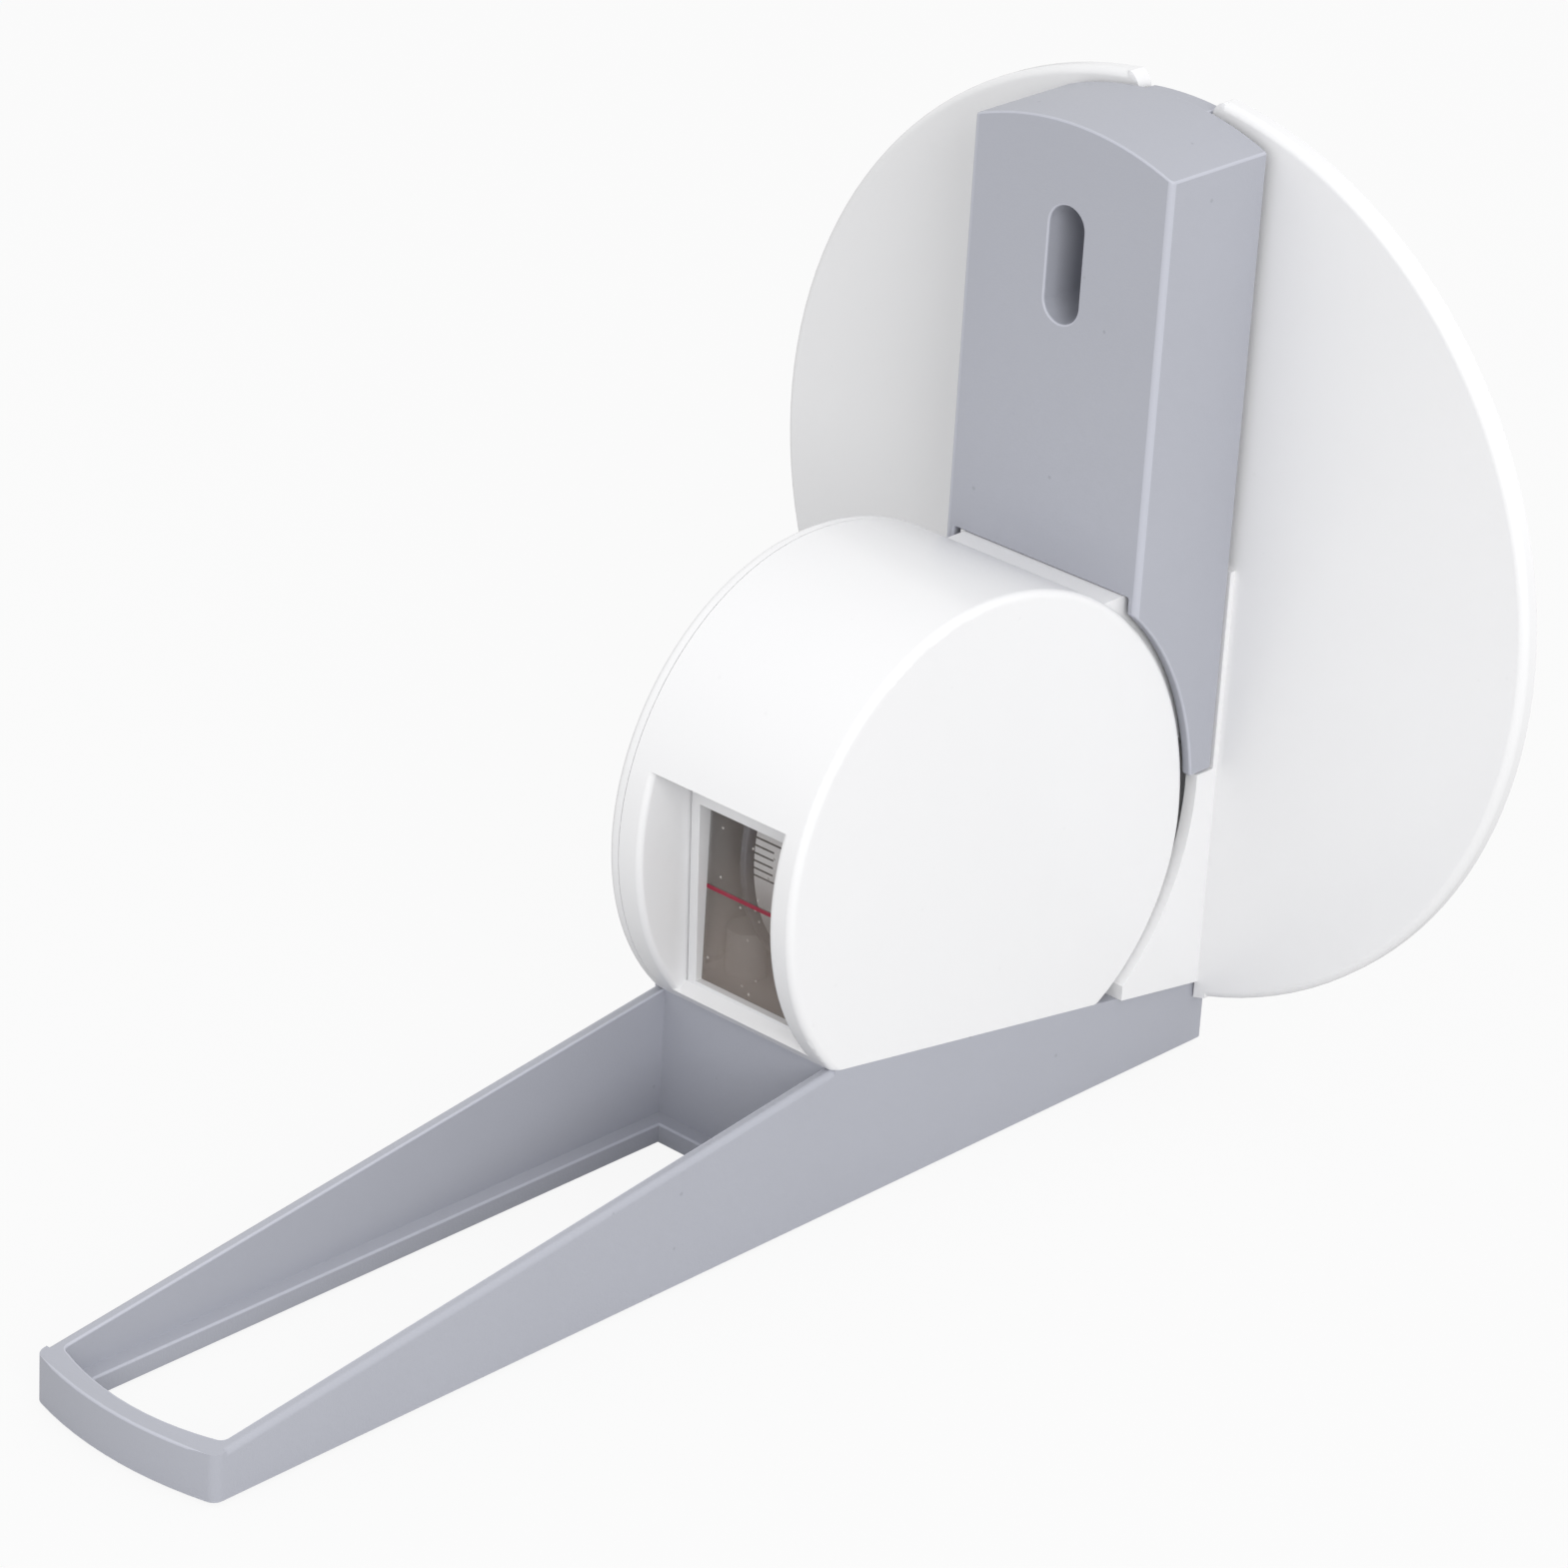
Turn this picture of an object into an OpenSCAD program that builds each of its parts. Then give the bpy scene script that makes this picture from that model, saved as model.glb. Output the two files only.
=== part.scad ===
// Wall-mounted roll-up height measure.
// A grey bracket is screwed to the wall and holds the end of a spring-wound tape.
// The head (arm, round housing and wall disc) is drawn down from it, and the arm is laid
// on the head of the person. The height is read at the index line in the housing's window.
// Frame: X across, -Y out from the wall, +Z up. Y = 0 is the wall and Z = 0 the arm's underside.
// Places along the arm are given as a distance u out from the wall, so Y = -u.

/* [Measuring arm] */
// Width of the arm, of the housing on it and so of the whole head
arm_w = 30; // [28:0.5:34]
// Wall to the corners of the nose
arm_len = 168.4; // [140:0.1:220]
// How far the front of the nose bulges past its corners
nose_bulge = 2.2; // [1:0.1:4]
// Height of the nose
nose_h = 6.2; // [5.4:0.1:9]
// Radius of the upright corners of the nose
nose_corner_r = 1.5; // [0.8:0.1:3]
// Thickness of the band round the nose
nose_wall = 2.6; // [1.8:0.1:4]
// Wall to the ridge, where the sloping seat of the housing starts
ridge_u = 70; // [68:0.1:76]
// Height of the ridge
ridge_h = 19.6; // [18:0.1:22]
// Height of the seat at the wall
heel_h = 8.8; // [8:0.1:10]
// Thickness of the rails and of the cross walls
arm_wall = 1.7; // [1.2:0.1:2.4]
// Thickness of the deck under the housing
deck_t = 2; // [1.4:0.1:2.6]
// How far the ledge reaches into the opening
ledge_w = 2.2; // [1:0.1:4]
// Height of the ledge
ledge_h = 2.5; // [1.4:0.1:4]
// Radius of the top outer edges of the rails
rail_edge_r = 0.8; // [0.3:0.1:1.2]
// Wall to the middle of the cross rib under the deck
rib_u = 20; // [18:0.5:22]
// Thickness of that rib
rib_t = 1.4; // [0.8:0.1:2]

/* [Housing] */
// Radius of the housing's front curve
front_r = 32.1; // [31.6:0.1:33]
// Wall to the centre of the front curve, which is also the housing's highest line
front_u = 47.4; // [47:0.1:48.4]
// Height of the lowest line of the front curve's full circle over the arm's underside
front_low = 10; // [9.5:0.1:11]
// Radius of the curve over the back of the housing
back_r = 39.6; // [39:0.1:40.6]
// Radius of the curve from the back down to the seat
heel_r = 26.6; // [26:0.1:28]
// Wall thickness of the housing
shell_t = 1.8; // [1.4:0.1:2]
// Radius of the rounded rim of both side faces
rim_r = 1; // [0.6:0.1:1.8]
// Thickness of the side cover
cover_t = 1.8; // [1.8:0.1:2.4]
// Height of the locating lip and of the screw pads on the inside of the cover
cover_lip = 1.2; // [0.6:0.1:2]
// Thickness of the locating lip
cover_lip_t = 1; // [0.6:0.1:1.6]

/* [Window] */
// Width of the recess in front of the window
recess_w = 21; // [19:0.1:22]
// How far the middle of the recess lies off the middle of the housing, away from the side cover
recess_off = 0.8; // [0:0.1:1]
// Height of the recess's upper edge
recess_top = 52.3; // [50:0.1:53]
// Height of the sill under the window
sill_z = 22.2; // [22:0.1:23]
// Slope of the sill towards its front edge, in degrees
sill_slope = 32; // [0:1:40]
// How far the inner face of the pane lies behind the housing's foremost line
pane_in = 11.5; // [10.9:0.1:11.7]
// Thickness of the pane
pane_t = 1.2; // [0.8:0.1:1.6]
// Clear width of the window
sight_w = 16.2; // [14:0.1:17]
// Clear height of the window
sight_h = 24; // [20:0.1:25]
// How far the lip covers the pane's edge
lip_w = 1.3; // [0.8:0.1:1.6]
// Thickness of the lip's lower end in front of the pane
lip_t = 1; // [0.6:0.1:1.4]
// How much thicker the lip is at its upper end
lip_lean = 1.2; // [0:0.1:1.5]
// Width of the groove between the lip and the sides of the recess
groove_w = 0.25; // [0.1:0.05:0.4]
// Depth of that groove
groove_t = 0.4; // [0.1:0.1:0.6]
// Height of the index line
index_z = 35.3; // [30:0.1:42]
// Thickness of the index line
index_h = 0.55; // [0.3:0.05:1]
// Depth of the groove that holds it
index_t = 0.2; // [0.1:0.05:0.4]

/* [Reel and tape] */
// Gap between the rims of the flanges and the housing's floor
rim_gap = 0.5; // [0.3:0.1:0.9]
// Gap between the flanges and the pane
flange_gap = 1; // [0.5:0.1:1.4]
// Gap between the flanges and the plane of the bracket's front, in which the throat ends
reel_back_gap = 3.1; // [0.5:0.1:3.5]
// Thickness of a flange
flange_t = 1; // [0.7:0.1:1.4]
// How far the flanges stand out over the wound tape of the parked head
flange_lip = 0.9; // [0.7:0.1:2]
// Depth of the wound tape on the hub
coil_depth = 2; // [1.6:0.1:3]
// Wall of the hub
hub_t = 1.8; // [1.2:0.1:2.4]
// Width of the tape
tape_w = 7; // [6:0.1:7.6]
// Thickness of the tape
tape_t = 0.15; // [0.1:0.01:0.25]
// Wall to the tape where it runs up to the bracket
tape_u = 11.6; // [11.2:0.1:12]
// Radius of the axle
axle_r = 2; // [1.6:0.1:2.4]
// Radius of the fixed arbor that holds the inner end of the recoil spring
arbor_r = 3.6; // [3.2:0.1:4]
// Turns of the recoil spring
spring_turns = 8; // [5:1:10]
// Thickness of the recoil spring's strip
spring_t = 0.45; // [0.3:0.05:0.7]
// Thickness of the thrust washers beside the reel
washer_t = 0.5; // [0.3:0.1:1]
// Radius of the thrust washers
washer_r = 4.2; // [3.6:0.1:5]
// Radius of the guide pin
pin_r = 1.6; // [1.2:0.1:1.8]
// How far the guide pin lies below the throat's step
pin_drop = 4; // [3:0.1:5]

/* [Throat] */
// How far the step on which the parked bracket rests lies below the housing's highest line
step_drop = 7.2; // [6.2:0.1:7.8]
// Height of the throat's mouth over the step
mouth_h = 4; // [3:0.1:6]
// Height of the throat from its lower end to the step
throat_h = 23; // [21:0.5:25]
// Thickness of the throat's lower end under the tape's channel
throat_floor = 3; // [2:0.5:5]

/* [Wall disc] */
// Radius of the disc
disc_r = 60; // [58:0.5:70]
// Height of the disc's lowest line over the arm's underside
disc_low = 4.8; // [4:0.1:6]
// Depth of the disc from the wall to its face
disc_t = 2.4; // [2:0.1:2.8]
// Thickness of the plate inside the rim
plate_t = 1.6; // [1.2:0.1:1.9]
// Width of the rim on the back
disc_rim_w = 1.8; // [1:0.1:3]
// Radius of the rounded front edge
disc_edge_r = 1.1; // [0.4:0.1:1.4]
// Width of the notch that the bracket's boss slides in
notch_w = 11.6; // [10.6:0.1:14]
// How far the notch goes on down below the parked bracket's boss
notch_drop = 8; // [3:0.5:15]
// Radius of the corners at the top of the notch
notch_corner_r = 2.4; // [1:0.1:3.5]
// Depth from the wall to the face of the raised pad
pad_u = 3.2; // [2.8:0.1:3.4]
// How far the pad's upper edge lies below the throat's step
pad_drop = 1; // [0:0.5:5]
// How much larger the radius of the cheeks' hollow front is than the housing's heel curve
cheek_hollow = 5.8; // [5.7:0.1:6.6]
// How far the centre of the hollow front lies in front of the heel curve's centre
cheek_shift = 4.2; // [4:0.1:4.6]
// How far the centre of the hollow front lies above the heel curve's centre
cheek_rise = 3.4; // [3.2:0.1:4]
// Wall to the tips of the cheeks
cheek_tip_u = 17.4; // [15:0.1:18]
// Height of the cheeks' top
cheek_top = 39.3; // [38.8:0.1:39.4]
// Thickness of the two cheeks and of the foot between them
cheek_wall = 1.8; // [1.4:0.1:2]

/* [Bracket] */
// Wall to the bracket's front face
bracket_u = 21.1; // [20.6:0.1:22.5]
// Wall to the bracket's back edges
bracket_back_u = 3.6; // [3.5:0.1:4.4]
// How far the bracket's top corners lie below the disc's highest line
bracket_drop = 4.1; // [1:0.1:7]
// How far the top rises in the middle
bracket_crown = 3; // [1:0.1:5]
// Wall thickness of the bracket
bracket_wall = 1.4; // [1.2:0.1:1.8]
// Width of the boss that reaches the wall
boss_w = 10.6; // [9.6:0.1:10.8]
// How far the boss goes down below the middle of the screw slot
boss_drop = 14.8; // [12:0.1:16]
// Width of the screw slot at the front
slot_w = 5.5; // [4.5:0.1:6.5]
// Length of the screw slot
slot_len = 15; // [12:0.1:17]
// How far the middle of the slot lies below the bracket's top corners
slot_drop = 14.9; // [13:0.1:17]
// Width of the narrow part of the slot, for the screw's shank
shank_w = 3.8; // [3:0.1:4.2]
// Thickness of the wall that the screw's head bears on
bearing_t = 3; // [2:0.1:5]
// Thickness of the two stiffening ribs
bracket_rib_t = 1.4; // [0.8:0.1:2]
// Length of the tape's end that is clamped in the bracket
anchor_len = 10; // [8:0.1:11]

/* [Screws] */
// Radius of the screws' shanks
screw_r = 1.3; // [1:0.05:1.4]
// Radius of the screws' heads
head_r = 2.4; // [2:0.05:2.5]
// Height of the screws' heads
head_h = 1.8; // [1.2:0.1:1.8]
// Radius of the moulded screw bosses
boss_r = 2.6; // [2.2:0.1:2.8]
// Length of the arm's, the cover's and the disc's screws
screw_len = 12; // [9:0.5:13]
// Distance of the arm's and the disc's screws from the arm's sides
screw_in = 5.6; // [5.4:0.1:6]
// How much of an arm screw lies in the arm
grip = 5; // [4:0.5:6]
// Wall to the arm's screws that go up into the disc's foot
disc_screw_u = 9; // [8:0.5:10]
// Wall to the arm's screws at the back of the housing
rear_screw_u = 31; // [28:0.5:34]
// Wall to the arm's screws at the front of the housing
front_screw_u = 60; // [56:0.5:63]
// Distance of the disc's screws below the pad's upper edge
disc_screw_drop = 8; // [6:0.5:10]
// Distance along the arm between the reel's axis and the cover's lower screw
cover_screw_span = 19; // [18:0.5:20]
// How deep the screws' heads lie under the surface
head_sink = 0.4; // [0.1:0.1:0.8]
// Radius of the clamp screws' shanks
clamp_screw_r = 0.9; // [0.7:0.05:1.1]
// Thickness of the plate that clamps the tape's end
clamp_t = 1; // [0.6:0.1:1.5]

/* [Clearances] */
// Gap round a screw in its hole and round a pin in its socket
snug_gap = 0.05; // [0.02:0.01:0.1]
// Radial gap of the reel on its axle
bearing_gap = 0.05; // [0.03:0.01:0.1]
// Gap between pieces that are put together and stay still
fit_gap = 0.1; // [0.05:0.05:0.2]
// Gap between the reel's pieces and the fixed ones beside them
turn_gap = 0.3; // [0.2:0.05:0.4]
// Gap between the bracket and the head at the sides
side_gap = 0.6; // [0.4:0.05:0.8]
// Gap between the bracket's cheeks and the back of the housing
cheek_gap = 0.6; // [0.4:0.05:0.9]
// Gap between the parked bracket and the disc's cheeks under it
park_gap = 0.2; // [0.1:0.05:0.5]
// Gap beside the tape at the flanges
tape_gap = 0.5; // [0.3:0.05:0.8]
// Gap round the tape in its channel
channel_gap = 1.2; // [0.8:0.1:1.6]
// Gap at the tip of a screw
tip_gap = 0.4; // [0.2:0.1:1]

/* [Hidden] */

GREY = [0.68, 0.69, 0.73];
WHITE = [0.95, 0.95, 0.96];
STEEL = [0.75, 0.76, 0.78];
SMOKE = [0.45, 0.42, 0.41, 0.5];
DARK = [0.24, 0.25, 0.27];
RED = [0.7, 0.1, 0.2];
eps = 0.01;    // thickness of a slice and overlap of a cut
past = 1;      // how far a cut runs past a face

half_w = arm_w / 2;
nose_u = arm_len + nose_bulge;
front_z = front_low + front_r;      // height of the centre of the front curve
top_z = front_z + front_r;          // highest line of the housing
back_z = top_z - back_r;            // height of the back curve's centre and of the heel curve's
heel_u = front_u - back_r + heel_r; // wall to the centre of the heel curve
cover_x = half_w - cover_t;         // the seam between cover and housing
inner_x = half_w - shell_t;         // inner face of the housing's closed side
sill_lip = 0.5;                     // height of the lip over the sill
sight_z = sill_z + sill_lip;        // lower edge of the clear window
pane_u = front_u + front_r - pane_in;
pane_front_u = pane_u + pane_t;
lip_front_u = pane_front_u + lip_t;
pane_seat = 0.6;                    // how far the housing's front wall goes on behind the pane
inner_front_u = pane_u - pane_seat; // inner face of the housing's front wall
// the reel fills the room between the throat, the pane and the floor
flange_r = (pane_u - flange_gap - bracket_u - reel_back_gap) / 2;
reel_u = pane_u - flange_gap - flange_r;
reel_z = seat_z(reel_u) + shell_t + (flange_r + rim_gap) / cos(atan((ridge_h - heel_h) / ridge_u));
coil_r = flange_r - flange_lip;     // wound tape when the head is parked
hub_r = coil_r - coil_depth;
flange_x = tape_w / 2 + tape_gap;   // inner faces of the flanges
reel_x = flange_x + flange_t;       // outer faces of the flanges
boss_x = reel_x + washer_t + turn_gap;
socket_x = half_w - cover_t / 2;    // bottom of the axle's sockets
spigot_len = 1.2;                   // spigot of the reel's cover in the hub
spigot_t = 0.9;
bracket_low = cheek_top + park_gap; // lower ends of the bracket's side cheeks
bracket_w = arm_w + 2 * side_gap;
bracket_top = disc_low + 2 * disc_r - bracket_drop;
slot_z = bracket_top - slot_drop;   // middle of the screw slot
boss_low = slot_z - boss_drop;
anchor_gap = 2;                     // from the boss down to the end of the tape
anchor_top = boss_low - anchor_gap;
anchor_low = anchor_top - anchor_len;
step_z = top_z - step_drop;
mouth_z = step_z + mouth_h;
throat_low_z = step_z - throat_h;
pin_z = step_z - pin_drop;
pad_top = step_z - pad_drop;
notch_z = boss_low - notch_drop;
throat_half = cover_x + fit_gap;
step_back = 0.3;                    // from the bracket's front to the front of the throat
step_u = bracket_u - step_back;
inner_u = bracket_u - bracket_wall; // inner face of the bracket's front wall
channel_half = tape_w / 2 + channel_gap;
channel_front_u = tape_u + 2 * (pin_r + channel_gap);
channel_back_u = tape_u - 2 * channel_gap;
pin_u = tape_u + tape_t / 2 + snug_gap + pin_r;
pin_hold = 2.2;                     // length of the guide pin's ends in the throat
pin_half = channel_half + pin_hold;
ledge_gap = 0.7;                    // from the step's ledge to the seam of the side cover
ledge_u = front_u - sqrt(pow(back_r - shell_t / 2, 2) - pow(step_z - back_z, 2));
disc_z = disc_low + disc_r;         // height of the disc's centre
back_face_u = disc_t - plate_t;     // wall to the back of the disc's plate
cheek_r = heel_r + cheek_hollow;
cheek_c = [-heel_u - cheek_shift, back_z + cheek_rise];
cheek_over = 0.1;                   // how far the cheeks stand out beside the bracket
cheek_half = bracket_w / 2 + cheek_over;
screw_x = half_w - screw_in;
boss_end = 1.2;                     // how far a boss goes on past the tip of its screw
boss_sink = 0.5;                    // how far the cover's bosses are sunk in the housing's wall
arm_boss_t = 0.9;                   // wall round a screw's head in the arm
disc_head_u = head_sink + head_h;   // wall to the seat of the disc screws' heads
disc_screw_z = pad_top - disc_screw_drop;
housing_screw_us = [rear_screw_u, front_screw_u];
all_screw_us = concat([disc_screw_u], housing_screw_us);
clamp_u = tape_u - tape_t / 2;      // wall to the tape's back, which the clamp plate lies on
clamp_in = 0.8;                     // how far the clamp plate ends short of the tape's end
clamp_screw_in = 3;                 // from the ends of the clamped stretch of tape
clamp_screw_len = 5.5;
clamp_head_h = 1.1;
clamp_head_r = 1.8 * clamp_screw_r;

function seat_z(u) = heel_h + (ridge_h - heel_h) * u / ridge_u;
function polar(c, r, a) = [c[0] + r * cos(a), c[1] + r * sin(a)];

// the cover's screws: two under the back curve, one over the window and one over the floor
cover_screw_places = concat(
    [for (a = [38, 84]) polar([-front_u, back_z], back_r - shell_t - boss_r + boss_sink, a)],
    [polar([-front_u, front_z], front_r - shell_t - boss_r + boss_sink, 130)],
    [let (u = reel_u - cover_screw_span) [-u, seat_z(u) + shell_t + boss_r - boss_sink]]);

// Outlines drawn in [y, z] and carried across from x0 to x1
module across(x0, x1) translate([x0, 0, 0]) rotate([90, 0, 90]) linear_extrude(x1 - x0) children();

// The half plane over the seat, raised by lift
module over_seat(lift = 0) polygon([[past, seat_z(-past) + lift], [past, 2 * disc_r],
    [-arm_len, 2 * disc_r], [-arm_len, seat_z(arm_len) + lift]]);

// Plan of the arm or of an opening in it: straight sides from u0 to u1 and a bulging front
module arm_plan(w, u0, u1, bulge, r) {
    arc_r = (w * w / 4 + bulge * bulge) / (2 * bulge);
    arc_u = u1 + bulge - arc_r;
    corner_x = w / 2 - r;
    corner_u = arc_u + sqrt(pow(arc_r - r, 2) - corner_x * corner_x);
    touch_x = corner_x * arc_r / (arc_r - r);
    translate([-w / 2, -corner_u]) square([w, corner_u - u0]);
    for (s = [-1, 1]) translate([s * corner_x, -corner_u]) circle(r, $fn = 32);
    intersection() {
        translate([0, -arc_u]) circle(arc_r, $fn = 240);
        translate([-touch_x, -u1 - bulge - past])
            square([2 * touch_x, u1 + bulge + past - corner_u + r / 2]);
    }
}

// Rounds a rail's top outer edge between two places on it
module rail_rounding(u0, z0, u1, z1) {
    run = norm([u1 - u0, z1 - z0]);
    for (s = [0, 1]) mirror([s, 0, 0]) translate([half_w - rail_edge_r, -u0, z0])
        rotate([atan2(z1 - z0, u0 - u1), 0, 0]) translate([0, 0, -rail_edge_r]) difference() {
            cube([rail_edge_r + past, run, rail_edge_r + past]);
            rotate([-90, 0, 0]) cylinder(r = rail_edge_r, h = run, $fn = 32);
        }
}

module screw(length) {
    difference() {
        union() {
            cylinder(r = screw_r, h = length, $fn = 24);
            translate([0, 0, -head_h]) cylinder(r = head_r, h = head_h, $fn = 32);
        }
        // cross slot
        for (a = [0, 90]) rotate([0, 0, a]) translate([-head_r * 0.6, -head_r / 8, -head_h - eps])
            cube([head_r * 1.2, head_r / 4, head_h * 0.45]);
    }
}

module arm_screw_places(us) for (s = [-1, 1], u = us)
    translate([s * screw_x, -u, seat_z(u) - grip]) children();

module measuring_arm() color(GREY) difference() {
    union() {
        difference() {
            intersection() {
                linear_extrude(ridge_h + past) arm_plan(arm_w, 0, arm_len, nose_bulge, nose_corner_r);
                across(-half_w, half_w) polygon([[0, 0], [-nose_u - past, 0], [-nose_u - past, nose_h],
                    [-arm_len, nose_h], [-ridge_u, ridge_h], [0, heel_h]]);
            }
            translate([0, 0, ledge_h]) linear_extrude(ridge_h)
                arm_plan(arm_w - 2 * arm_wall, ridge_u, arm_len - nose_wall, nose_bulge, 1);
            translate([0, 0, -past]) linear_extrude(ridge_h)
                arm_plan(arm_w - 2 * (arm_wall + ledge_w), ridge_u + ledge_w,
                    arm_len - nose_wall - ledge_w, nose_bulge, 1);
            across(-half_w + arm_wall, half_w - arm_wall) difference() {
                polygon([[-arm_wall, -past], [-arm_wall, seat_z(arm_wall) - deck_t],
                    [arm_wall - ridge_u, seat_z(ridge_u - arm_wall) - deck_t], [arm_wall - ridge_u, -past]]);
                translate([-rib_u - rib_t / 2, -2 * past]) square([rib_t, ridge_h]);
            }
            // nose corners to ridge
            rail_rounding(arm_len - nose_corner_r, nose_h + nose_corner_r * (ridge_h - nose_h)
                / (arm_len - ridge_u), ridge_u, ridge_h);
        }
        // screw bosses under the deck
        arm_screw_places(all_screw_us) translate([0, 0, -head_h - head_sink])
            cylinder(r = head_r + arm_boss_t, h = head_h + head_sink + grip - deck_t / 2, $fn = 36);
    }
    arm_screw_places(all_screw_us) {
        translate([0, 0, -past]) cylinder(r = screw_r + snug_gap, h = grip + 2 * past, $fn = 32);
        translate([0, 0, -head_h - past]) cylinder(r = head_r + fit_gap, h = head_h + past, $fn = 32);
    }
}

module arm_screws() color(STEEL) arm_screw_places(all_screw_us) screw(screw_len);

// Side view of the housing, drawn in by d and cut off along the seat raised by lift
module drum_outline(d = 0, lift = 0) intersection() {
    union() {
        intersection() {
            translate([-front_u, front_z]) circle(front_r - d, $fn = 180);
            translate([-front_u - front_r, 0]) square([front_r, 2 * top_z]);
        }
        intersection() {
            translate([-front_u, back_z]) circle(back_r - d, $fn = 220);
            translate([-front_u, back_z]) square([back_r, top_z]);
        }
        intersection() {
            translate([-heel_u, back_z]) circle(heel_r - d, $fn = 150);
            translate([-heel_u, 0]) square([heel_r, back_z]);
        }
        translate([-front_u, 0]) square([front_u - heel_u, back_z]);
    }
    over_seat(lift);
}

// Round slab about an axis along X, rounded where it meets the side face at x1
module rounded_slab(c, r, x0, x1) translate([0, c[0], c[1]]) rotate([0, 90, 0])
    rotate_extrude($fn = 200) {
        translate([0, x0]) square([r, x1 - rim_r - x0]);
        translate([0, x0]) square([r - rim_r, x1 - x0]);
        translate([r - rim_r, x1 - rim_r]) intersection() {
            circle(rim_r, $fn = 48);
            square(rim_r);
        }
    }

// Housing without its hollow, from x0 to the side face at x1, whose rim is rounded
module drum_solid(x0, x1) {
    width = x1 - x0;
    intersection() {
        union() {
            intersection() {
                rounded_slab([-front_u, front_z], front_r, x0, x1);
                translate([x0, -front_u - front_r, 0]) cube([width, front_r, top_z]);
            }
            intersection() {
                rounded_slab([-front_u, back_z], back_r, x0, x1);
                translate([x0, -front_u, back_z]) cube([width, back_r, back_r]);
            }
            intersection() {
                rounded_slab([-heel_u, back_z], heel_r, x0, x1);
                translate([x0, -heel_u, 0]) cube([width, heel_r, back_z]);
            }
            translate([x0, -front_u, 0]) cube([width, front_u - heel_u, back_z]);
        }
        across(x0, x1) over_seat();
    }
}

// Block behind and above the housing, through which the tape leaves
module throat() {
    translate([-throat_half, -step_u, throat_low_z])
        cube([2 * throat_half, step_u - pad_u - snug_gap, step_z - throat_low_z]);
    // mouth, which stands up inside the parked bracket
    translate([-throat_half + side_gap, -inner_u + side_gap, throat_low_z])
        cube([2 * (throat_half - side_gap), inner_u - 2 * side_gap - pad_u, mouth_z - throat_low_z]);
    // level ledge in front of the bracket, which runs into the back curve and clears the side cover
    translate([-cover_x + ledge_gap, -ledge_u, step_z - 2 * shell_t])
        cube([cover_x - ledge_gap + throat_half, ledge_u - step_u + eps, 2 * shell_t]);
}

// Cavity of the housing
module drum_cavity() across(-half_w - past, inner_x) difference() {
    drum_outline(shell_t, shell_t);
    translate([-front_u - front_r, 0])
        square([front_u + front_r - inner_front_u, recess_top + shell_t]);
}

module housing_body() color(WHITE) difference() {
    union() {
        difference() {
            union() {
                drum_solid(-cover_x, half_w);
                throat();
            }
            drum_cavity();
            // recess, clear window and seat of the pane
            across(recess_off - recess_w / 2, recess_off + recess_w / 2) polygon([[-lip_front_u, sill_z],
                [-front_u - front_r - past, sill_z - (pane_in + past) * tan(sill_slope)],
                [-front_u - front_r - past, recess_top], [-lip_front_u - lip_lean, recess_top]]);
            // groove on both sides of the lip
            for (x = [recess_off - recess_w / 2, recess_off + recess_w / 2 - groove_w])
                across(x, x + groove_w) polygon([[-lip_front_u, sill_z], [groove_t - lip_front_u, sill_z],
                    [groove_t - lip_front_u - lip_lean, recess_top], [-lip_front_u - lip_lean, recess_top]]);
            translate([-sight_w / 2, -lip_front_u - lip_lean - past, sight_z])
                cube([sight_w, lip_lean + lip_t + 2 * past, sight_h]);
            translate([-sight_w / 2 - lip_w, -pane_front_u, sight_z - lip_w])
                cube([sight_w + 2 * lip_w, pane_front_u - inner_front_u + past, sight_h + 2 * lip_w]);
            // channel of the tape
            translate([-channel_half, -channel_front_u, throat_low_z + throat_floor])
                cube([2 * channel_half, channel_front_u - channel_back_u, mouth_z]);
        }
        intersection() {
            union() {
                for (p = cover_screw_places) across(-cover_x + cover_lip + fit_gap, inner_x + eps)
                    translate(p) circle(boss_r, $fn = 32);
                across(boss_x, inner_x + eps) translate([-reel_u, reel_z]) circle(washer_r, $fn = 40);
                arm_screw_places(housing_screw_us) translate([0, 0, grip])
                    cylinder(r = boss_r, h = screw_len - grip + boss_end, $fn = 32);
            }
            across(-cover_x, half_w - eps) drum_outline(shell_t / 2);
        }
    }
    for (p = cover_screw_places) across(-cover_x, -half_w + head_h + screw_len + tip_gap)
        translate(p) circle(screw_r + snug_gap, $fn = 32);
    across(boss_x - past, socket_x) translate([-reel_u, reel_z]) circle(axle_r + snug_gap, $fn = 40);
    arm_screw_places(housing_screw_us)
        cylinder(r = screw_r + snug_gap, h = screw_len + tip_gap, $fn = 32);
    for (s = [-1, 1]) translate([s * screw_x, -pad_u + past, disc_screw_z]) rotate([90, 0, 0])
        cylinder(r = screw_r + snug_gap, h = screw_len + disc_head_u - pad_u + past + tip_gap, $fn = 32);
    across(-pin_half, pin_half) translate([-pin_u, pin_z]) circle(pin_r + snug_gap, $fn = 32);
}

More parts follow.
